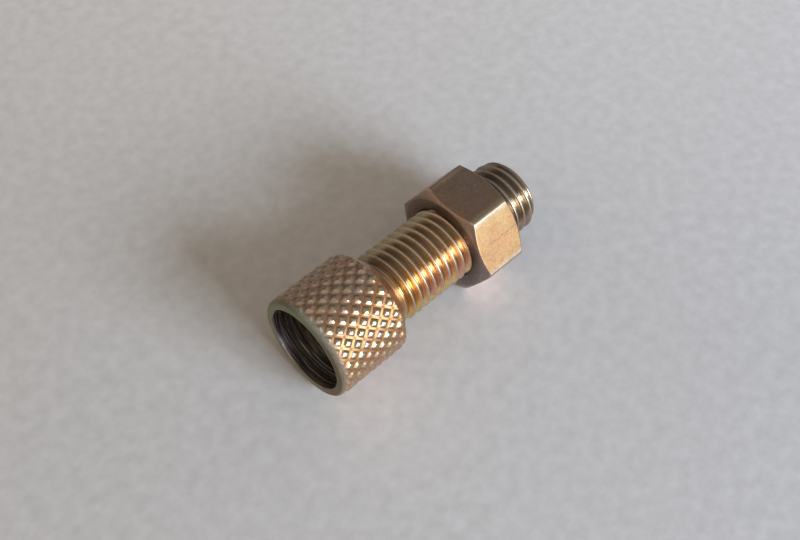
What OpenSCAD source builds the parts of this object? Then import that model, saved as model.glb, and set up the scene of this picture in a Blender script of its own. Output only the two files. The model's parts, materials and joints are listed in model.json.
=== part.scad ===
// Cable adjuster screw with its lock nut.
// It lies along X. The origin is on the axis where the head ends and the shank starts,
// the end of the shank points to +X and the socket for the cable casing opens to -X.
// A flat of the nut faces down, so the screw can lie on it and on the rim of its head.

/* [Thread] */
// Outside diameter of the thread
thread_d = 8; // [7:0.5:9]
// Pitch of the thread
pitch = 1; // [0.75:0.25:1.25]
// Length of the shank from the head to its end
shank_len = 19.6; // [17:0.1:26]
// Width of the relief groove between the head and the thread
relief_w = 0.4; // [0.3:0.1:1]
// Chamfer at the end of the shank
tip_chamfer = 0.6; // [0.3:0.1:0.8]

/* [Lock nut] */
// Wall between the thread and the flats
nut_wall = 1.5; // [1.3:0.1:3]
// Thickness of the nut
nut_h = 5.7; // [4:0.1:8]
// Gap between the head and the nut as it is set
nut_gap = 9.5; // [1:0.5:11]
// Clearance between the thread and the nut's bore
nut_clear = 0.1; // [0.05:0.05:0.2]

/* [Head] */
// How far the points of the knurl stand out past the flats of the nut
knurl_proud = 0.2; // [0:0.1:1]
// Wall between the points of the knurl and the socket
head_wall = 1.1; // [1.1:0.1:2]
// Length of the head
head_len = 9.4; // [9:0.1:12]
// Width of the smooth band in front of the knurl
band_w = 0.4; // [0.4:0.05:1.2]
// Radius of the rounded front edge
front_round = 0.3; // [0.2:0.05:0.35]
// Length of the cone behind the knurl
rear_cone = 1.3; // [0.8:0.1:1.6]

/* [Knurl] */
// Number of grooves of each hand
knurl_n = 25; // [18:1:32]
// Depth from the points of the knurl to the bottom of its grooves
knurl_depth = 0.3; // [0.25:0.01:0.5]
// Angle of the grooves to the axis
knurl_angle = 42; // [30:1:45]

/* [Cable passage] */
// Depth of the socket's straight wall
socket_depth = 6.2; // [4:0.1:6.6]
// Chamfer at the mouth of the socket
mouth_chamfer = 0.06; // [0.05:0.01:0.2]
// Diameter of the hole for the inner cable
cable_hole_d = 3.2; // [2:0.1:4]

/* [Hidden] */

// Metric thread form: sharp-V height times 17/24 with a flat crest of an eighth
thread_depth = 0.6134 * pitch;
flank = thread_depth * tan(30);
crest_flat = pitch / 8;
crest_r = thread_d / 2;
root_r = crest_r - thread_depth;
turn_steps = 32;
// Where along X a crest passes the +Y side
crest_start = 0.13;
relief_r = root_r - 0.08;
tip_r = crest_r - tip_chamfer;
// What the cutting profiles stand clear of the thread and the knurl
over = 0.1;

nut_af = thread_d + 2 * nut_wall;
nut_corner_r = nut_af / 2 / cos(30);
nut_face_r = 0.48 * nut_af;
nut_chamfer_h = (nut_corner_r - nut_face_r) * tan(30);
nut_bore_r = crest_r + nut_clear;
nut_countersink = 0.1;

head_r = nut_af / 2 + knurl_proud;
pit_r = head_r - knurl_depth;
// The knurl is rolled in, so its points rise a little above the blank
band_r = head_r - knurl_depth / 2;
core_r = pit_r - 0.15;
knurl_front = -head_len + band_w;
half_turn = 180 / knurl_n;
half_step = PI * head_r / knurl_n / tan(knurl_angle);
knurl_rows = ceil(-knurl_front / half_step);
// The rear cone comes down to a narrow shoulder round the thread
shoulder_r = crest_r + 0.15;

socket_r = head_r - head_wall;
hole_r = cable_hole_d / 2;
hole_chamfer = 0.3;
drill_point = 118;
socket_end = -head_len + socket_depth;
point_len = (socket_r - hole_r) / tan(drill_point / 2);

cut = 1;
smooth = 72;

module along_x() {
    rotate([90, 0, 90]) children();
}

// A closed helical rod that runs past both ends of the stretch it is cut to
module thread_rod(from, to) {
    turns = ceil((to - from) / pitch) + 2;
    last = turns * turn_steps;
    radius = [root_r, crest_r, crest_r, root_r];
    offset_z = [0, flank, flank + crest_flat, 2 * flank + crest_flat];
    start_z = crest_start - flank - crest_flat / 2 - pitch * ceil((crest_start - from) / pitch + 0.5);
    function spot(i, k) = let (a = 360 * i / turn_steps)
        [radius[k] * cos(a), radius[k] * sin(a), start_z + pitch * i / turn_steps + offset_z[k]];
    // One more turn of root line closes the last turn of ridge
    roots = [for (i = [0 : last + turn_steps]) spot(i, 0)];
    ridges = [for (i = [0 : last]) for (k = [1 : 3]) spot(i, k)];
    centres = [for (t = [0.5, turns + 0.5]) [0, 0, start_z + pitch * t]];
    c = len(roots) + len(ridges);
    function at(i, k) = k == 0 ? i : k == 4 ? i + turn_steps : len(roots) + 3 * i + k - 1;
    skin = [for (i = [0 : last - 1]) for (k = [0 : 3]) each
        [[at(i, k), at(i + 1, k + 1), at(i + 1, k)], [at(i, k), at(i, k + 1), at(i + 1, k + 1)]]];
    start = [
        for (i = [0 : turn_steps - 1]) [c, i, i + 1],
        for (k = [0 : 3]) [c, at(0, k + 1), at(0, k)]];
    finish = [
        for (i = [last : last + turn_steps - 1]) [c + 1, i + 1, i],
        for (k = [0 : 3]) [c + 1, at(last, k), at(last, k + 1)]];
    polyhedron(concat(roots, ridges, centres), concat(skin, start, finish));
}

// Points and pits alternate round the head and along it, so each point is a small pyramid
module knurl_band() {
    around = 2 * knurl_n;
    rings = [for (j = [0 : knurl_rows]) for (i = [0 : around - 1])
        let (r = (i + j) % 2 == 0 ? pit_r : head_r, a = half_turn * i)
        [r * cos(a), r * sin(a), knurl_front + half_step * j]];
    centres = [for (j = [0, knurl_rows]) [0, 0, knurl_front + half_step * j]];
    c = len(rings);
    function at(i, j) = i % around + around * j;
    // The edge between two pits is the bottom of a groove
    skin = [for (j = [0 : knurl_rows - 1]) for (i = [0 : around - 1]) each (i + j) % 2 == 0
        ? [[at(i, j), at(i, j + 1), at(i + 1, j + 1)], [at(i, j), at(i + 1, j + 1), at(i + 1, j)]]
        : [[at(i, j), at(i, j + 1), at(i + 1, j)], [at(i + 1, j), at(i, j + 1), at(i + 1, j + 1)]]];
    ends = [for (i = [0 : around - 1]) each
        [[c, at(i, 0), at(i + 1, 0)], [c + 1, at(i + 1, knurl_rows), at(i, knurl_rows)]]];
    polyhedron(concat(rings, centres), concat(skin, ends));
}

module head() {
    // Smooth front band on a core that reaches in under the knurl
    rotate_extrude($fn = smooth) polygon([
        [0, -head_len],
        for (a = [0 : 30 : 90]) [band_r - front_round * (1 - sin(a)), -head_len + front_round * (1 - cos(a))],
        [band_r, knurl_front], [core_r, knurl_front], [core_r, socket_end], [0, socket_end]]);
    // The knurl runs out on a short cone in front and is turned to a long one behind
    intersection() {
        knurl_band();
        rotate_extrude($fn = smooth) polygon([
            [0, knurl_front - cut], [band_r - cut, knurl_front - cut],
            [band_r - over, knurl_front], [head_r + over, knurl_front + head_r - band_r + 2 * over],
            [head_r + over, -rear_cone], [shoulder_r, 0], [0, 0]]);
    }
}

module shank() {
    intersection() {
        thread_rod(0, shank_len);
        rotate_extrude($fn = smooth) polygon([
            [0, socket_end], [relief_r, socket_end], [relief_r, relief_w],
            [crest_r + over, relief_w + crest_r + over - relief_r],
            [crest_r + over, shank_len - tip_chamfer - over], [tip_r, shank_len], [0, shank_len]]);
    }
}

// Socket with its drill point, then the hole for the inner cable
module cable_passage() {
    rotate_extrude($fn = smooth) polygon([
        [0, -head_len - cut], [socket_r + mouth_chamfer + cut, -head_len - cut],
        [socket_r, -head_len + mouth_chamfer], [socket_r, socket_end], [hole_r, socket_end + point_len],
        [hole_r, shank_len - hole_chamfer], [hole_r + hole_chamfer + cut, shank_len + cut],
        [0, shank_len + cut]]);
}

module adjuster_screw() {
    color("goldenrod") along_x() difference() {
        union() {
            head();
            shank();
        }
        cable_passage();
    }
}

module lock_nut() {
    color("darkgoldenrod") along_x() translate([0, 0, nut_gap]) difference() {
        intersection() {
            cylinder(h = nut_h, r = nut_corner_r, $fn = 6);
            rotate_extrude($fn = smooth) polygon([
                [0, 0], [nut_face_r, 0], [nut_corner_r, nut_chamfer_h],
                [nut_corner_r, nut_h - nut_chamfer_h], [nut_face_r, nut_h], [0, nut_h]]);
        }
        rotate_extrude($fn = smooth) polygon([
            [0, -cut], [nut_bore_r + nut_countersink + cut, -cut], [nut_bore_r, nut_countersink],
            [nut_bore_r, nut_h - nut_countersink], [nut_bore_r + nut_countersink + cut, nut_h + cut],
            [0, nut_h + cut]]);
    }
}

adjuster_screw();
lock_nut();
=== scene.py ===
import json
import math

import bpy
import numpy as np
from mathutils import Matrix, Vector


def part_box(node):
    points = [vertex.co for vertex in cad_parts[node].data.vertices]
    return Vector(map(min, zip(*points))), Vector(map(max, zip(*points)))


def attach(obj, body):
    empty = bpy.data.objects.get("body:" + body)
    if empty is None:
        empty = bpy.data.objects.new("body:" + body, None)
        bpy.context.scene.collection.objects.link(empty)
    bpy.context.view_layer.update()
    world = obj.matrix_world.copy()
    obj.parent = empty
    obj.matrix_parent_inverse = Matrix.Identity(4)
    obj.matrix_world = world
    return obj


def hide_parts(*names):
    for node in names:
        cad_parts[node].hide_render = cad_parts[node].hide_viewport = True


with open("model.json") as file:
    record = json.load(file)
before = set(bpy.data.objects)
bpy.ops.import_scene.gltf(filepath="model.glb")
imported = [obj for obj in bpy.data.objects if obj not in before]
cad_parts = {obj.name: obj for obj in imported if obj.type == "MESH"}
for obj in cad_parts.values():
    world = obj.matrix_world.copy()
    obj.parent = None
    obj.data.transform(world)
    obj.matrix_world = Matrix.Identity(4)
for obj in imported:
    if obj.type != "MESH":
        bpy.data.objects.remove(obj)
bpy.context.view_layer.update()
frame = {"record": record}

# Sizes from the frame, in millimetres
MM = 0.001
screw_low, screw_high = [[v / MM for v in corner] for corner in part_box("adjuster_screw")]
nut_low, nut_high = [[v / MM for v in corner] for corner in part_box("lock_nut")]
mounts = {m["name"]: m["dims"] for m in frame["record"]["mounts"]}

HEAD_R = screw_high[1]
HEAD_LEN = -screw_low[0]
SHANK_LEN = screw_high[0]
CREST_R = mounts["thread"]["r_mm"]
SOCKET_R = mounts["cable_socket"]["r_mm"]
SOCKET_WALL = mounts["cable_socket"]["length_mm"]
HOLE_R = mounts["cable_hole"]["r_mm"]
NUT_FRONT, NUT_BACK = nut_low[0], nut_high[0]
NUT_FLAT = nut_high[2]

# Thread
PITCH = 1.0
CREST_START = 0.13
THREAD_DEPTH = 0.6134 * PITCH
ROOT_SOFT = 0.2
CREST_SOFT = 0.07
ROOT_R = CREST_R - THREAD_DEPTH
RELIEF_R = ROOT_R - 0.08
RELIEF_W = 0.4
TIP_R = ROOT_R - 0.01
TIP_HOLE_CHAMFER = 0.3
NUT_THREAD_CLEAR = 0.03

# Head and socket
BAND_R = HEAD_R - 0.15
FRONT_ROUND = 0.3
BAND_STEP = 0.03
LIP_EDGE = 0.04
REAR_CONE = 1.3
SHOULDER_R = CREST_R + 0.15
MOUTH_CHAMFER = 0.06
DRILL_POINT = math.radians(118)

# Boring marks in the socket: how closely they follow each other, how that swells, and their height
MARK_RATE = 19.0
MARK_SWELL = 3.1
MARK_CUT = 0.7
MARK_HEIGHT = 0.2

# Knurl
KNURL_N = 25
KNURL_DEPTH = 0.21
KNURL_ANGLE = math.radians(42)
KNURL_FRONT = -HEAD_LEN + 0.4
# A whole number of rows, as near as it goes to the knurl's angle
KNURL_ROWS = round(-KNURL_FRONT * KNURL_N * math.tan(KNURL_ANGLE) / (math.pi * HEAD_R))
HALF_STEP = -KNURL_FRONT / KNURL_ROWS
# How steeply the domed points rise, and the share of their height by which they differ
DOME = 3.2
UNEVEN = 0.28
# How steeply the knurl rises in front, and over how long its film comes in there
RUN_OUT_SLOPE = 0.5
FADE_IN = 0.4
# The last stretch of the rear cone has no knurl
REAR_PLAIN = 0.3
KNURL_SOFT = 0.04
# As shares of the way from a groove to the point beside it
GROOVE_END = 0.2
GROOVE_SOFT = 0.06
# The last one is how far the painted shade reaches round each crossing
CROSSING = 0.4

# Nut
NUT_FACE_R = 0.96 * NUT_FLAT
NUT_CHAMFER = math.radians(30)
NUT_COUNTERSINK = 0.1
NUT_CORNER_ROUND = 0.45
NUT_BEVEL = 0.05
NUT_BORE_EDGE = 0.03
NUT_FACE_EDGE = 0.01
# Degrees from a corner to the columns of points on the flat beside it
NUT_COLUMNS = (2.2, 4, 7, 10.5, 14.5, 19, 24.5)

# Where each skin has its points: from one groove to the next, and from one crest to the next
HALF_CELL = (0, 0.14, GROOVE_END, 0.5, 0.72, 0.88)
CELL = [k / 2 for k in HALF_CELL] + [1 - k / 2 for k in (1, *HALF_CELL[:0:-1])]
THREAD_FORM = (0, 0.045, 0.075, 0.16, 0.26, 0.38, 0.43, 0.5, 0.57, 0.62, 0.74, 0.84, 0.925, 0.955)
# Angles of the columns of points round the head, and of the fewer ones round the shank and the bore
COLUMN_SHARE = 3
FINE = np.array([(cell + k) * 2 * math.pi / KNURL_N for cell in range(KNURL_N) for k in CELL])
COARSE = FINE[::COLUMN_SHARE]

# Finishes of the screw, in the order of its material slots
HEAD, THREAD, BORE = range(3)

# Film on the plain parts and at the socket's mouth, on the scale of the knurl's and thread's height
PLAIN = 0.3
MOUTH_FILM = 0.2

# Film on the nut's faces, and on its flats in turn from +Y through the upper one; each flat's film is also
# set for how that flat catches the light, so it is partly painted light and shade
NUT_FACE_FILM = 0.75
NUT_FLAT_FILMS = (0.55, 0.71, 0.44, 0.45, 0.40, 0.66)


# Shapes

class Skin:
    """A closed surface round the X axis, gathered from patches whose shared rings are welded at the end."""

    def __init__(self):
        self.points = []
        self.height = []
        self.faces = []
        self.zones = []
        self.zone = 0

    def add(self, x, r, angle, height=0.0):
        """Adds points and returns their numbers."""
        x, r, angle, height = np.broadcast_arrays(x, r, angle, height)
        first = sum(len(p) for p in self.points)
        self.points.append(np.stack([x, r * np.cos(angle), r * np.sin(angle)], -1).reshape(-1, 3))
        self.height.append(np.ravel(height))
        return first + np.arange(x.size).reshape(x.shape)

    def face(self, *corners):
        self.faces.append([int(v) for v in corners])
        self.zones.append(self.zone)

    def rings(self, ids):
        """Walls between neighbouring rings of points."""
        for low, high in zip(ids[:-1], ids[1:]):
            for quad in np.stack([low, np.roll(low, -1), np.roll(high, -1), high], 1):
                self.face(*quad)

    def lathe(self, profile, angles, height=0.0):
        """Turns a profile of (x, r) pairs."""
        x, r = np.array(profile, float).T
        self.rings(self.add(x[:, None], r[:, None], angles[None, :], height))

    def flat_ring(self, x, outer_r, inner_r, angles, front):
        """A flat ring with all the columns outside and one in COLUMN_SHARE of them inside."""
        outer = self.add(x, outer_r, angles)
        inner = self.add(x, inner_r, angles[::COLUMN_SHARE])
        for i in range(len(inner)):
            arc = [outer[(COLUMN_SHARE * i + k) % len(outer)] for k in range(COLUMN_SHARE + 1)]
            corners = [*arc, inner[(i + 1) % len(inner)], inner[i]]
            self.face(*(corners[::-1] if front else corners))

    def build(self, name):
        """Welds the patches, drops what collapsed and returns the object."""
        points = np.concatenate(self.points)
        height = np.concatenate(self.height)
        keys = np.round(points / 1e-4).astype(np.int64)
        _, first, weld = np.unique(keys, axis=0, return_index=True, return_inverse=True)
        weld = weld.ravel()
        faces, zones = [], []
        for face, zone in zip(self.faces, self.zones):
            ring = [int(weld[v]) for v in face]
            ring = [v for k, v in enumerate(ring) if v != ring[k - 1]]
            if len(ring) > 2 and len(set(ring)) == len(ring):
                faces.append(ring)
                zones.append(zone)
        mesh = bpy.data.meshes.new(name)
        mesh.from_pydata((points[first] * MM).tolist(), [], faces)
        mesh.attributes.new("height", "FLOAT", "POINT").data.foreach_set("value", height[first])
        mesh.polygons.foreach_set("material_index", zones)
        mesh.polygons.foreach_set("use_smooth", [True] * len(mesh.polygons))
        mesh.update()
        obj = bpy.data.objects.new(name, mesh)
        bpy.context.scene.collection.objects.link(obj)
        return obj


def soft_min(a, b, reach):
    """The lower of two heights, rounded over where they meet."""
    share = np.clip(0.5 + 0.5 * (b - a) / reach, 0, 1)
    return b + (a - b) * share - reach * share * (1 - share)


def soft_max(a, b, reach):
    return -soft_min(-a, -b, reach)


def cell_chance(i, j):
    """A repeatable number from 0 to 1 for each cell of a lattice."""
    mixed = np.sin(i * 12.9898 + j * 78.233 + 37.719) * 43758.5453
    return mixed - np.floor(mixed)


def knurl_height(from_u, from_v):
    """0 at the bottom of the grooves and 1 on the domed points."""
    climb = np.clip((soft_min(from_u, from_v, GROOVE_SOFT) - GROOVE_END) / (1 - GROOVE_END), 0, 1)
    return 1 - (1 - climb) ** DOME


def knurl_line(skin, first, count, lines):
    """The points along one line of the knurl's first hand, where every line of the second crosses it."""
    # u and v count the grooves of each hand
    u = lines[first]
    v = lines[first: first + count + 1]
    x = np.minimum(KNURL_FRONT + HALF_STEP * (v - u), 0)
    angle = (u + v) * math.pi / KNURL_N
    from_u = 2 * np.abs(u - np.round(u))
    from_v = 2 * np.abs(v - np.round(v))
    tallness = cell_chance(np.floor(u) % KNURL_N, np.floor(v) % KNURL_N)
    height = knurl_height(from_u, from_v) * (1 - UNEVEN + UNEVEN * tallness)
    # Painted shade: the colour is darkest where two grooves cross, the deepest places of the knurl
    crossing_shade = np.clip(1 - np.maximum(from_u, from_v) / CROSSING, 0, 1)
    cone = SHOULDER_R - x * (HEAD_R - SHOULDER_R) / REAR_CONE
    run_out = BAND_R - BAND_STEP + RUN_OUT_SLOPE * (x - KNURL_FRONT)
    r = soft_min(HEAD_R - KNURL_DEPTH * (1 - height), run_out, KNURL_SOFT)
    r = soft_min(r, cone, KNURL_SOFT)
    # The ends meet the band and the shoulder exactly
    r = np.where(x > -REAR_PLAIN, cone, r)
    r[0] = BAND_R - BAND_STEP
    # Film, wear and the painted shade at the crossings follow the points only where they stand up
    up = np.clip(np.minimum((x - KNURL_FRONT) / FADE_IN, -x / REAR_CONE), 0, 1)
    return skin.add(x, r, angle, PLAIN + (height - crossing_shade - PLAIN) * up)


def knurl_wall(skin):
    """The knurled wall, laid out along its grooves. Returns the angles of its last ring."""
    knots = len(CELL)
    lines = np.array([cell + k for cell in range(KNURL_N + KNURL_ROWS + 1) for k in CELL])
    count = knots * KNURL_ROWS
    ids = [knurl_line(skin, i, count, lines) for i in range(knots * KNURL_N)]
    for here, there in zip(ids, ids[1:] + ids[:1]):
        skin.face(here[0], there[0], here[1])
        for j in range(1, count):
            skin.face(here[j], there[j - 1], there[j], here[j + 1])
        skin.face(here[count], there[count - 1], there[count])
    return FINE + KNURL_ROWS * math.pi / KNURL_N


def thread_height(phase):
    """0 at the root and 1 on the crest, for a place within the pitch that starts on the crest."""
    off = np.abs((phase + 0.5) % 1 - 0.5) * PITCH
    flank_start = PITCH / 16
    flank = THREAD_DEPTH * math.tan(math.radians(30))
    slope = 1 - (off - flank_start) / flank
    return soft_min(soft_max(slope, 0.0, ROOT_SOFT), 1.0, CREST_SOFT)


def helix(skin, angles, start, end, radius):
    """A threaded wall. radius gives the wall's radius from x and the height of the thread form."""
    turns = np.arange(math.floor(min(start, end) / PITCH) - 3, math.ceil(max(start, end) / PITCH) + 3)
    phase = np.add.outer(turns, THREAD_FORM).ravel()
    x = CREST_START + PITCH * (phase[:, None] + angles[None, :] / (2 * math.pi))
    height = np.broadcast_to(thread_height(phase)[:, None], x.shape)
    x = np.clip(x, min(start, end), max(start, end))
    # The film goes on growing past the crest, down the flank that faces the end
    past = (phase % 1 < 0.5)[:, None]
    ids = skin.add(x, radius(x, height), angles[None, :], np.where(past, 2 - height, height))
    form, columns = len(THREAD_FORM), len(angles)
    for j in range(len(phase) - form - 1):
        for i in range(columns):
            # The last column joins the first one a pitch further on
            after, shift = (i + 1, 0) if i + 1 < columns else (0, form)
            face = (ids[j, i], ids[j + shift, after], ids[j + shift + 1, after], ids[j + 1, i])
            skin.face(*(face if end > start else face[::-1]))


def shank_r(x, height):
    """The shank's radius: its thread, cut by the relief at the head and the chamfer at the end."""
    wall = ROOT_R + THREAD_DEPTH * height
    relief = RELIEF_R + np.maximum(x - RELIEF_W, 0)
    return np.minimum(np.minimum(wall, relief), TIP_R + (SHANK_LEN - x))


def socket_wall(x):
    """A point of the socket's wall, where boring marks stand a few hundredths proud at uneven steps."""
    swell = MARK_CUT + (1 - MARK_CUT) * math.sin(MARK_SWELL * x)
    mark = max(0.0, math.sin(MARK_RATE * x) * swell - MARK_CUT)
    return x, SOCKET_R - MARK_HEIGHT * mark


def passage_profile():
    """The way through, from the end of the shank to the mouth of the socket."""
    mouth_x = -HEAD_LEN + MOUTH_CHAMFER
    mouth_r = SOCKET_R + MOUTH_CHAMFER
    socket_end = mouth_x + SOCKET_WALL
    point_end = socket_end + (SOCKET_R - HOLE_R) / math.tan(DRILL_POINT / 2)
    return [
        (SHANK_LEN, HOLE_R + TIP_HOLE_CHAMFER),
        *((x, HOLE_R) for x in np.linspace(SHANK_LEN - TIP_HOLE_CHAMFER, point_end, 12)),
        *(socket_wall(x) for x in np.linspace(socket_end, mouth_x, 110)),
        (-HEAD_LEN, mouth_r),
        (-HEAD_LEN, mouth_r + LIP_EDGE),
    ]


def band_profile():
    """The smooth front band, from the flat of the rim round its edge to the knurl."""
    lip_r = BAND_R - FRONT_ROUND
    arc = [math.radians(a) for a in range(0, 91, 15)]
    edge = [(FRONT_ROUND * (1 - math.cos(a)) - HEAD_LEN, lip_r + FRONT_ROUND * math.sin(a)) for a in arc]
    return [(-HEAD_LEN, lip_r - LIP_EDGE), *edge, (KNURL_FRONT, BAND_R - BAND_STEP)]


def adjuster_screw():
    skin = Skin()
    band = band_profile()
    skin.zone = HEAD
    skin.lathe(band, FINE, PLAIN)
    rear = knurl_wall(skin)
    skin.flat_ring(0.0, SHOULDER_R, RELIEF_R, rear, front=False)
    skin.zone = THREAD
    helix(skin, COARSE, 0.0, SHANK_LEN, shank_r)
    skin.lathe([(SHANK_LEN, TIP_R), (SHANK_LEN, HOLE_R + TIP_HOLE_CHAMFER)], COARSE)
    skin.zone = BORE
    skin.lathe(passage_profile(), COARSE, MOUTH_FILM)
    skin.zone = HEAD
    skin.flat_ring(-HEAD_LEN, band[0][1], SOCKET_R + MOUTH_CHAMFER + LIP_EDGE, FINE, front=True)
    return skin.build("screw_body")


def nut_outline():
    """Angles and radii round the hexagon. The columns gather at its six rounded corners."""
    sixth = math.pi / 6
    arc_half = sixth - math.atan(math.tan(sixth) * (1 - NUT_CORNER_ROUND / NUT_FLAT))
    near = [arc_half * k / 4 for k in range(5)] + [math.radians(d) for d in NUT_COLUMNS]
    sector = [*near, sixth, *(2 * sixth - d for d in near[:0:-1])]
    angles = np.array([2 * sixth * k + d for k in range(6) for d in sector])
    from_corner = np.abs((angles + sixth) % (2 * sixth) - sixth)
    flat = NUT_FLAT / np.cos(sixth - from_corner)
    centre = (NUT_FLAT - NUT_CORNER_ROUND) / math.cos(sixth)
    reach = np.maximum(NUT_CORNER_ROUND ** 2 - (centre * np.sin(from_corner)) ** 2, 0)
    rounded = centre * np.cos(from_corner) + np.sqrt(reach)
    return angles, np.where(from_corner < arc_half * 1.01, np.minimum(flat, rounded), flat)


def nut_half(outline, bore):
    """Depth from the nut's face and radius, from the bore out to the side."""
    zero = np.zeros_like(outline)
    chamfer = (outline - NUT_FACE_R) * math.tan(NUT_CHAMFER)
    return [
        (zero, zero + bore),
        (zero, zero + bore + NUT_BORE_EDGE),
        (zero, zero + NUT_FACE_R - NUT_BEVEL),
        (zero + NUT_FACE_EDGE, zero + NUT_FACE_R + NUT_FACE_EDGE),
        (chamfer / 2, (outline + NUT_FACE_R) / 2),
        (chamfer - NUT_BEVEL * math.tan(NUT_CHAMFER), outline - NUT_BEVEL),
        (chamfer + NUT_BEVEL, outline),
        (chamfer + 2 * NUT_BEVEL, outline),
    ]


def lock_nut():
    skin = Skin()
    angles, outline = nut_outline()
    bore = CREST_R + NUT_COUNTERSINK
    half = nut_half(outline, bore)
    front = [(NUT_FRONT + depth, r) for depth, r in half]
    back = [(NUT_BACK - depth, r) for depth, r in half[::-1]]
    x, r = (np.stack(values) for values in zip(*front, *back))
    film = np.full(x.shape, NUT_FACE_FILM)
    film[len(half) - 2: len(half) + 2] = np.array(NUT_FLAT_FILMS)[(angles // (math.pi / 3)).astype(int)]
    skin.rings(skin.add(x, r, angles[None, :], film))

    def bore_r(x, height):
        wall = ROOT_R + THREAD_DEPTH * height + NUT_THREAD_CLEAR
        return np.maximum(wall, bore - np.minimum(x - NUT_FRONT, NUT_BACK - x))
    helix(skin, angles, NUT_BACK, NUT_FRONT, bore_r)
    return skin.build("nut_body")


# Materials

class Graph:
    """The nodes of one material or of the world, each added by one call that returns its output."""

    def __init__(self, tree):
        self.nodes = tree.nodes
        self.links = tree.links

    def feed(self, value, socket):
        """Links another node's output to a socket, or sets the socket to a number or a colour."""
        if isinstance(value, bpy.types.NodeSocket):
            self.links.new(value, socket)
        elif isinstance(value, tuple):
            socket.default_value = (*value, 1)
        else:
            socket.default_value = value

    def place(self, kind="Object"):
        return self.nodes.new("ShaderNodeTexCoord").outputs[kind]

    def axes(self, coords):
        node = self.nodes.new("ShaderNodeSeparateXYZ")
        self.links.new(coords, node.inputs[0])
        return node.outputs

    def stretch(self, coords, along, around):
        """Coordinates for marks that run round the axis: fine along X and long across it."""
        node = self.nodes.new("ShaderNodeMapping")
        node.inputs["Scale"].default_value = (along, around, around)
        self.links.new(coords, node.inputs["Vector"])
        return node.outputs[0]

    def noise(self, coords, scale, detail, distortion=0.0):
        node = self.nodes.new("ShaderNodeTexNoise")
        node.inputs["Scale"].default_value = scale
        node.inputs["Detail"].default_value = detail
        node.inputs["Distortion"].default_value = distortion
        self.links.new(coords, node.inputs["Vector"])
        return node.outputs["Fac"]

    def calc(self, operation, a, b=0.0, c=0.0):
        node = self.nodes.new("ShaderNodeMath")
        node.operation = operation
        for value, socket in zip((a, b, c), node.inputs):
            self.feed(value, socket)
        return node.outputs[0]

    def add(self, a, b):
        return self.calc("ADD", a, b)

    def times(self, a, b):
        return self.calc("MULTIPLY", a, b)

    def line(self, value, slope, start):
        """The value times slope, plus start."""
        return self.calc("MULTIPLY_ADD", value, slope, start)

    def away(self, value, centre):
        """How far the value is from a centre."""
        return self.calc("ABSOLUTE", self.calc("SUBTRACT", value, centre))

    def span(self, value, low, high):
        """0 where the value is low, 1 where it is high, and a straight climb between."""
        node = self.nodes.new("ShaderNodeMapRange")
        node.inputs["From Min"].default_value = low
        node.inputs["From Max"].default_value = high
        self.links.new(value, node.inputs["Value"])
        return node.outputs[0]

    def span_mm(self, value, low, high):
        return self.span(value, low * MM, high * MM)

    def ramp(self, value, stops):
        node = self.nodes.new("ShaderNodeValToRGB")
        while len(node.color_ramp.elements) < len(stops):
            node.color_ramp.elements.new(1.0)
        for element, (at, colour) in zip(node.color_ramp.elements, stops):
            element.position = at
            element.color = (*colour, 1)
        self.links.new(value, node.inputs[0])
        return node.outputs[0]

    def mix(self, factor, a, b, blend="MIX"):
        node = self.nodes.new("ShaderNodeMix")
        node.data_type = "RGBA"
        node.blend_type = blend
        self.feed(factor, node.inputs[0])
        self.feed(a, node.inputs[6])
        self.feed(b, node.inputs[7])
        return node.outputs[2]

    def tint(self, colour, gain, share=1.0):
        return self.mix(share, colour, gain, "MULTIPLY")

    def lay_over(self, under, colour, mask, strength):
        """Lays a colour over another where the mask is 1."""
        return self.mix(self.times(mask, strength), under, colour)

    def bump(self, relief, strength, distance):
        node = self.nodes.new("ShaderNodeBump")
        node.inputs["Strength"].default_value = strength
        node.inputs["Distance"].default_value = distance
        self.links.new(relief, node.inputs["Height"])
        return node.outputs[0]


def shader(name):
    """A new material, its graph and the inputs of its surface."""
    mat = bpy.data.materials.new(name)
    mat.use_nodes = True
    return mat, Graph(mat.node_tree), mat.node_tree.nodes["Principled BSDF"].inputs


# The film's colours in the order in which they follow each other as it grows thicker
FILM = [
    (0.00, (0.40, 0.37, 0.26)),
    (0.18, (0.47, 0.39, 0.20)),
    (0.34, (0.60, 0.43, 0.18)),
    (0.48, (0.61, 0.33, 0.14)),
    (0.60, (0.47, 0.28, 0.19)),
    (0.72, (0.38, 0.28, 0.22)),
    (0.84, (0.36, 0.31, 0.28)),
    (1.00, (0.36, 0.40, 0.30)),
]

# Colours laid over the film. Most are painted light and shade by side, underside, roots and crossings;
# RIM_GREEN, CREST_ZINC, POINT_TINTS and the scratch are the finish's own
RIM_GREEN = (0.34, 0.375, 0.28)
RIM_NEAR_SHADE = (0.27, 0.245, 0.18)
PIT_SHADE_BROWN = (0.16, 0.10, 0.06)
NEAR_SHADE_BROWN = (0.29, 0.18, 0.11)
LIT_GROOVE_ORANGE = (0.45, 0.215, 0.075)
FAR_LIGHT_MAUVE = (0.68, 0.53, 0.41)
TOP_SHADE_PURPLE = (0.48, 0.385, 0.305)
FAR_SHADE_OLIVE = (0.54, 0.48, 0.31)
LIT_NECK_ORANGE = (0.62, 0.36, 0.08)
LIT_GOLD_GAIN = (1.25, 1.2, 1.0)
CREST_ZINC = (0.60, 0.54, 0.43)
ROOT_SHADE_BROWN = (0.11, 0.08, 0.065)
TIP_SHADE_GREY = (0.21, 0.20, 0.21)
EDGE_CREAM = (0.68, 0.58, 0.42)
UNDER_GLOW_PINK = (0.95, 0.62, 0.42)
NEAR_FLAT_SHADE = (0.86, 0.88, 0.98)
SCRATCH_AND_SHADE_BROWN = (0.16, 0.12, 0.09)
POINT_TINTS = [(0.36, (0.48, 0.62, 0.36)), (0.46, (0.74, 0.64, 0.34)), (0.56, (0.70, 0.52, 0.42))]
LIT_UNDER_TINTS = [(0.38, (0.64, 0.68, 0.38)), (0.48, (0.92, 0.68, 0.32)), (0.57, (0.74, 0.44, 0.40))]

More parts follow.
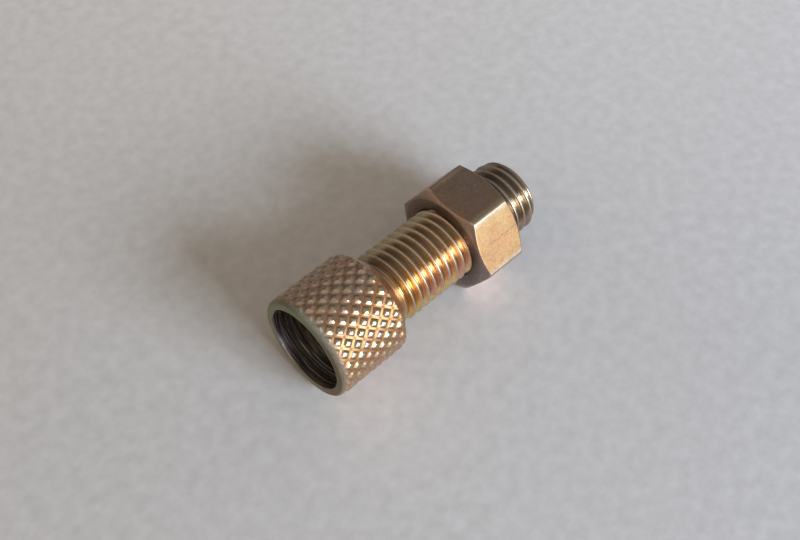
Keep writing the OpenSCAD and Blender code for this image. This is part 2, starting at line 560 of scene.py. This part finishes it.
# Tones of the fine grain, the bored wall and the paper
GRAIN_TONES = [(0.32, (0.74, 0.74, 0.74)), (0.52, (1, 1, 1))]
BORE_TONES = [(0.44, (0.16, 0.145, 0.135)), (0.58, (0.54, 0.49, 0.44)), (0.70, (0.95, 0.87, 0.78))]
PAPER_TONES = [(0.3, (0.525, 0.52, 0.515)), (0.7, (0.595, 0.59, 0.59))]
# Painted light on the paper: paler far from the camera and warmer on the left
PAPER_NEAR, PAPER_FAR = (0.96, 0.96, 0.96), (1.2, 1.2, 1.2)
PAPER_LEFT, PAPER_RIGHT = (1.05, 1.03, 1.0), (1.04, 1.05, 1.08)

# What a whole step of dullness adds to the roughness
DULL_STEP = 0.22


def passivate(name, overlay, film, climb, drift, mottle, gloss, matt=0.0, turned=0.0):
    """Yellow passivate on bright zinc.

    overlay lays further colours over the film, much of it painted light and shade, and tells where it is
    duller or brighter.
    film is where its colour starts in FILM, and climb is how far the height attribute moves it.
    drift is how far it wanders over the piece, and mottle over a few tenths of a millimetre.
    gloss is the roughness, and matt what is added to it away from the points and crests.
    turned is the strength of the marks round the axis.
    """
    mat, graph, surface = shader(name)
    coords = graph.place()
    attribute = graph.nodes.new("ShaderNodeAttribute")
    attribute.attribute_name = "height"
    height = attribute.outputs["Fac"]
    rings = graph.noise(graph.stretch(coords, 8000, 60), 1.0, 3)
    broad = graph.line(graph.noise(coords, 260, 2, 0.4), 2 * drift, film - drift)
    fine = graph.line(graph.noise(coords, 3600, 3), 2 * mottle, -mottle)
    streak = graph.line(rings, 0.3 * turned, -0.15 * turned)
    thickness = graph.add(graph.add(graph.line(height, climb, broad), fine), streak)
    colour, dull = overlay(graph, coords, height, graph.ramp(thickness, FILM))
    grain = graph.ramp(graph.noise(coords, 6500, 4), GRAIN_TONES)
    graph.feed(graph.tint(colour, grain), surface["Base Color"])
    graph.feed(1.0, surface["Metallic"])
    roughness = graph.line(graph.noise(coords, 900, 3), 0.2, gloss - 0.1)
    roughness = graph.line(dull, DULL_STEP, roughness)
    graph.feed(graph.line(graph.away(height, 1.0), matt, roughness), surface["Roughness"])
    relief = graph.line(rings, 0.4 * turned, graph.noise(coords, 2500, 3))
    graph.feed(graph.bump(relief, 0.25, 0.02 * MM), surface["Normal"])
    return mat


def head_overlay(graph, coords, height, colour):
    """Painted light and shade: brown and orange on the window side, paler mauve on the far side, pinker
    underneath and dark where the grooves cross; a dull greenish rim and tinted points.
    """
    axes = graph.axes(coords)
    near_side = graph.span_mm(axes["Y"], -0.1 * HEAD_R, -0.7 * HEAD_R)
    far_side = graph.span_mm(axes["Y"], -0.4 * HEAD_R, 0.5 * HEAD_R)
    underside = graph.span_mm(axes["Z"], 0.3 * HEAD_R, -0.3 * HEAD_R)
    grooves = graph.times(graph.span(height, 0.2, 0.05), near_side)
    pit_shade = graph.span(height, -0.1, -0.7)
    points = graph.span(height, 0.55, 0.75)
    ragged = graph.line(graph.noise(coords, 900, 3), 0.6 * MM, axes["X"])
    rim = graph.span_mm(ragged, KNURL_FRONT + 0.9, KNURL_FRONT + 0.2)
    # The rim is greenish; on the window side it is painted darker and warmer, as painted shade
    rim_tint = graph.mix(near_side, RIM_GREEN, RIM_NEAR_SHADE)
    point_tint = graph.ramp(graph.noise(coords, 800, 2), POINT_TINTS)
    # Painted shade: the side toward the window is painted browner, toning down how brightly it is lit
    colour = graph.lay_over(colour, NEAR_SHADE_BROWN, near_side, 0.5)
    # Painted light: the grooves on the window side are painted orange, the colour they show lit by the
    # window
    colour = graph.lay_over(colour, LIT_GROOVE_ORANGE, grooves, 0.8)
    # Painted light: the far side is painted a paler mauve, brightening it where it reflects shaded paper
    colour = graph.lay_over(colour, FAR_LIGHT_MAUVE, far_side, 0.75)
    # Painted light: the underside is painted paler and pinker, to throw a warm glow onto the paper below
    colour = graph.lay_over(colour, UNDER_GLOW_PINK, underside, 0.6)
    colour = graph.lay_over(colour, rim_tint, rim, 0.85)
    # Painted shade: dark brown where the grooves cross
    colour = graph.lay_over(colour, PIT_SHADE_BROWN, pit_shade, 0.6)
    colour = graph.lay_over(colour, point_tint, points, 0.6)
    return colour, graph.line(rim, 2.4, graph.line(near_side, 0.3, far_side))


def thread_overlay(graph, coords, height, colour):
    """Painted light and shade: purple-grey above, olive on the far side, gold, orange and pale tints on the
    window side, dark roots and dark grey past the nut; paler crests.
    """
    axes = graph.axes(coords)
    near_side = graph.span_mm(axes["Y"], 0.0, -0.75 * CREST_R)
    upper = graph.span_mm(axes["Y"], -0.7 * CREST_R, -0.3 * CREST_R)
    far_side = graph.span_mm(axes["Y"], 0.1 * CREST_R, 0.7 * CREST_R)
    neck = graph.times(graph.span_mm(axes["X"], 3.5, 1.0), near_side)
    low_side = graph.times(graph.span_mm(axes["Z"], 0.65 * CREST_R, 0.1 * CREST_R), near_side)
    tip_shade = graph.span_mm(axes["X"], NUT_BACK - 0.5, NUT_BACK + 0.5)
    off_crest = graph.away(height, 1.0)
    root = graph.span(off_crest, 0.7, 1.0)
    crest = graph.span(off_crest, 0.3, 0.1)
    lit_low_tint = graph.ramp(graph.noise(coords, 300, 2), LIT_UNDER_TINTS)
    # Painted shade: the upper side, turned away from the window, is painted purple-grey
    colour = graph.lay_over(colour, TOP_SHADE_PURPLE, upper, 0.75)
    # Painted shade: the far side is painted olive
    colour = graph.lay_over(colour, FAR_SHADE_OLIVE, far_side, 0.7)
    # Painted light: the lower part of the window side, which reflects the lit paper, is painted in pale
    # green, gold and pink
    colour = graph.lay_over(colour, lit_low_tint, low_side, 0.8)
    # Painted light: the neck on the window side is painted bright orange
    colour = graph.lay_over(colour, LIT_NECK_ORANGE, neck, 0.6)
    # Painted shade: the roots of the thread are painted dark brown
    colour = graph.lay_over(colour, ROOT_SHADE_BROWN, root, 0.85)
    # Painted shade: the end past the nut is painted dark grey
    colour = graph.lay_over(colour, TIP_SHADE_GREY, tip_shade, 0.7)
    # Painted light: the window side is painted a brighter gold
    colour = graph.tint(colour, LIT_GOLD_GAIN, near_side)
    colour = graph.lay_over(colour, CREST_ZINC, crest, 0.45)
    return colour, graph.times(graph.add(crest, upper), 0.6)


def scratch(graph, coords, axes):
    """1 on a wavering line that runs along X on the flat that faces the window."""
    up_the_flat = graph.line(axes["Z"], math.sin(math.pi / 3), -0.12 * MM)
    up_the_flat = graph.line(axes["Y"], 0.5, up_the_flat)
    waver = graph.line(graph.noise(coords, 500, 2), 0.3 * MM, -0.15 * MM)
    line = graph.span_mm(graph.away(graph.add(up_the_flat, waver), 0.0), 0.07, 0.02)
    return graph.times(line, graph.span_mm(axes["X"], NUT_FRONT + 0.9, NUT_FRONT + 1.6))


def nut_overlay(graph, coords, height, colour):
    """Corners painted pale, partly wear and partly painted highlight; painted shade round the bore; a
    pinker, brighter underside as painted light; the window flat painted a little darker as painted shade;
    pale specks and one fine scratch.
    """
    axes = graph.axes(coords)
    from_axis = graph.calc("SQRT", graph.line(axes["Y"], axes["Y"], graph.times(axes["Z"], axes["Z"])))
    corner_r = NUT_FLAT / math.cos(math.pi / 6)
    edges = graph.span_mm(from_axis, corner_r - 0.34, corner_r - 0.16)
    ragged = graph.line(graph.noise(coords, 700, 3), 0.8 * MM, from_axis)
    bore_shade = graph.span_mm(ragged, CREST_R + 1.9, CREST_R + 0.7)
    past_face = graph.span_mm(axes["X"], NUT_FRONT + 0.3, NUT_FRONT + 0.7)
    below = graph.times(graph.span_mm(axes["Z"], -1, -2), past_face)
    specks = graph.span(graph.noise(coords, 3000, 1), 0.70, 0.76)
    near_flat = graph.span_mm(axes["Y"], -0.5 * NUT_FLAT, -0.6 * NUT_FLAT)
    # The corners are painted pale cream, partly wear and partly a painted highlight on the rounded edges
    colour = graph.lay_over(colour, EDGE_CREAM, edges, 0.6)
    # Painted shade: the face is painted dark brown round the bore, where it meets the thread
    colour = graph.lay_over(colour, SCRATCH_AND_SHADE_BROWN, bore_shade, 0.75)
    # Painted light: the lower part is painted pinker and brighter, and made glossier, to throw a warm glow
    # onto the paper below
    colour = graph.lay_over(colour, UNDER_GLOW_PINK, below, 0.8)
    colour = graph.lay_over(colour, EDGE_CREAM, specks, 0.5)
    # Painted shade: the flat toward the window is painted a little darker and cooler
    colour = graph.tint(colour, NEAR_FLAT_SHADE, near_flat)
    scratched = graph.times(scratch(graph, coords, axes), near_flat)
    colour = graph.lay_over(colour, SCRATCH_AND_SHADE_BROWN, scratched, 0.5)
    return colour, graph.times(below, -0.8)


def bore_steel():
    """The bored wall: dark steel with pale streaks along the boring marks."""
    mat, graph, surface = shader("bore_steel")
    marks = graph.noise(graph.stretch(graph.place(), 6000, 300), 1.0, 4)
    graph.feed(graph.ramp(marks, BORE_TONES), surface["Base Color"])
    graph.feed(1.0, surface["Metallic"])
    graph.feed(0.36, surface["Roughness"])
    return mat


def paper():
    """Pale paper, a little paler on its far side and a little warmer on its left, both painted light."""
    mat, graph, surface = shader("pale_paper")
    coords = graph.place()
    axes = graph.axes(coords)
    far = graph.add(axes["X"], axes["Y"])
    right = graph.calc("SUBTRACT", axes["X"], axes["Y"])
    far_light_tint = graph.mix(graph.span_mm(far, 0.0, 90), PAPER_NEAR, PAPER_FAR)
    side_light_tint = graph.mix(graph.span_mm(right, -60, 60), PAPER_LEFT, PAPER_RIGHT)
    tone = graph.ramp(graph.noise(coords, 700, 5), PAPER_TONES)
    graph.feed(graph.tint(tone, graph.tint(far_light_tint, side_light_tint)), surface["Base Color"])
    graph.feed(0.9, surface["Roughness"])
    graph.feed(0.2, surface["Specular IOR Level"])
    graph.feed(graph.bump(graph.noise(coords, 900, 6), 0.5, 0.05 * MM), surface["Normal"])
    return mat


def head_passivate():
    return passivate(
        "head_passivate", head_overlay,
        film=0.62, climb=0.12, drift=0.25, mottle=0.22, gloss=0.17, matt=0.2, turned=0.2)


def thread_passivate():
    return passivate(
        "thread_passivate", thread_overlay,
        film=0.3, climb=0.22, drift=0.3, mottle=0.12, gloss=0.2, turned=1.0)


def nut_passivate():
    return passivate(
        "nut_passivate", nut_overlay,
        film=0.0, climb=1.0, drift=0.12, mottle=0.25, gloss=0.41)


# Pieces

def dress_screw():
    screw = adjuster_screw()
    for mat in (head_passivate(), thread_passivate(), bore_steel()):
        screw.data.materials.append(mat)
    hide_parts("adjuster_screw")
    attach(screw, "screw")


def dress_nut():
    nut = lock_nut()
    nut.data.materials.append(nut_passivate())
    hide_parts("lock_nut")
    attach(nut, "nut")


# Room

FLOOR_SIZE = 4.0
LAMP_DISTANCE = 0.6


def add_floor():
    """The floor touches the back edge of the knurl and the far edge of the nut's lower flat."""
    near = Vector((-REAR_CONE, 0, -HEAD_R)) * MM
    far = Vector((NUT_BACK, 0, -NUT_FLAT)) * MM
    tilt = math.atan2(far.z - near.z, far.x - near.x)
    bpy.ops.mesh.primitive_plane_add(size=FLOOR_SIZE, location=near, rotation=(0, -tilt, 0))
    floor = bpy.context.object
    floor.name = "floor"
    floor.data.materials.append(paper())


def toward(azimuth, elevation):
    """The unit vector to a place in the room, from its angles in degrees."""
    azimuth, elevation = math.radians(azimuth), math.radians(elevation)
    flat = math.cos(elevation)
    return Vector((flat * math.cos(azimuth), flat * math.sin(azimuth), math.sin(elevation)))


def add_panel(name, shape, size, energy, colour, direction):
    """A panel of light that faces the part."""
    lamp = bpy.data.lights.new(name, "AREA")
    lamp.shape = shape
    lamp.size, lamp.size_y = size
    lamp.energy = energy
    lamp.color = colour
    obj = bpy.data.objects.new(name, lamp)
    obj.location = direction * LAMP_DISTANCE
    obj.rotation_euler = (-obj.location).to_track_quat("-Z", "Y").to_euler()
    bpy.context.scene.collection.objects.link(obj)


def add_window():
    """A cool window low on the side that the bright flat of the nut faces, and the sill below it."""
    add_panel("window", "ELLIPSE", (0.36, 0.24), 5.0, (0.76, 0.86, 1.0), toward(-82, 22))
    add_panel("sill", "RECTANGLE", (0.5, 0.11), 0.45, (1.0, 0.95, 0.88), toward(-80, 6))


def round_about(graph, direction, sharpness):
    """1 in one direction of the room, and less away from it."""
    aim = graph.nodes.new("ShaderNodeVectorMath")
    aim.operation = "DOT_PRODUCT"
    aim.inputs[1].default_value = direction
    graph.links.new(graph.place("Generated"), aim.inputs[0])
    facing = graph.calc("MAXIMUM", aim.outputs["Value"], 0.0)
    return graph.calc("POWER", facing, sharpness)


def glow(graph, under, direction, sharpness, colour):
    """Adds a soft glow round one direction of the room to the light under it."""
    return graph.mix(round_about(graph, direction, sharpness), under, graph.mix(1.0, under, colour, "ADD"))


def add_world():
    """A dim warm room, brightest behind the camera and dark on the far side."""
    world = bpy.data.worlds.new("room")
    bpy.context.scene.world = world
    world.use_nodes = True
    graph = Graph(world.node_tree)
    light = glow(graph, (0.085, 0.08, 0.08), toward(215, 60), 2, (0.66, 0.57, 0.45))
    light = glow(graph, light, toward(150, 5), 6, (0.70, 0.45, 0.25))
    light = glow(graph, light, toward(0, 5), 6, (0.55, 0.55, 0.55))
    # Whoever took the picture stands dark before the light behind them
    light = graph.lay_over(light, (0.1, 0.09, 0.08), round_about(graph, toward(223, 55), 20), 0.75)
    graph.feed(light, graph.nodes["Background"].inputs["Color"])


# The camera stands where the outlines in the photograph put it
AIM = Vector((3.87, 0.52, 0.0)) * MM
AZIMUTH = math.radians(-47.08)
ELEVATION = math.radians(54.53)
ROLL = math.radians(3.62)
DISTANCE = 112.15 * MM
LENS = 50.2


def add_camera():
    data = bpy.data.cameras.new("camera")
    data.lens = LENS
    data.sensor_width = 36.0
    data.clip_start = 0.005
    data.clip_end = 10.0
    flat = math.cos(ELEVATION)
    look = Vector((-math.sin(AZIMUTH) * flat, math.cos(AZIMUTH) * flat, -math.sin(ELEVATION)))
    camera = bpy.data.objects.new("camera", data)
    turned = look.to_track_quat("-Z", "Y").to_matrix().to_4x4()
    camera.matrix_world = Matrix.Translation(AIM - look * DISTANCE) @ turned @ Matrix.Rotation(ROLL, 4, "Z")
    bpy.context.scene.collection.objects.link(camera)
    bpy.context.scene.camera = camera


dress_screw()
dress_nut()
add_floor()
add_window()
add_world()
add_camera()
bpy.context.scene.view_settings.view_transform = "Standard"
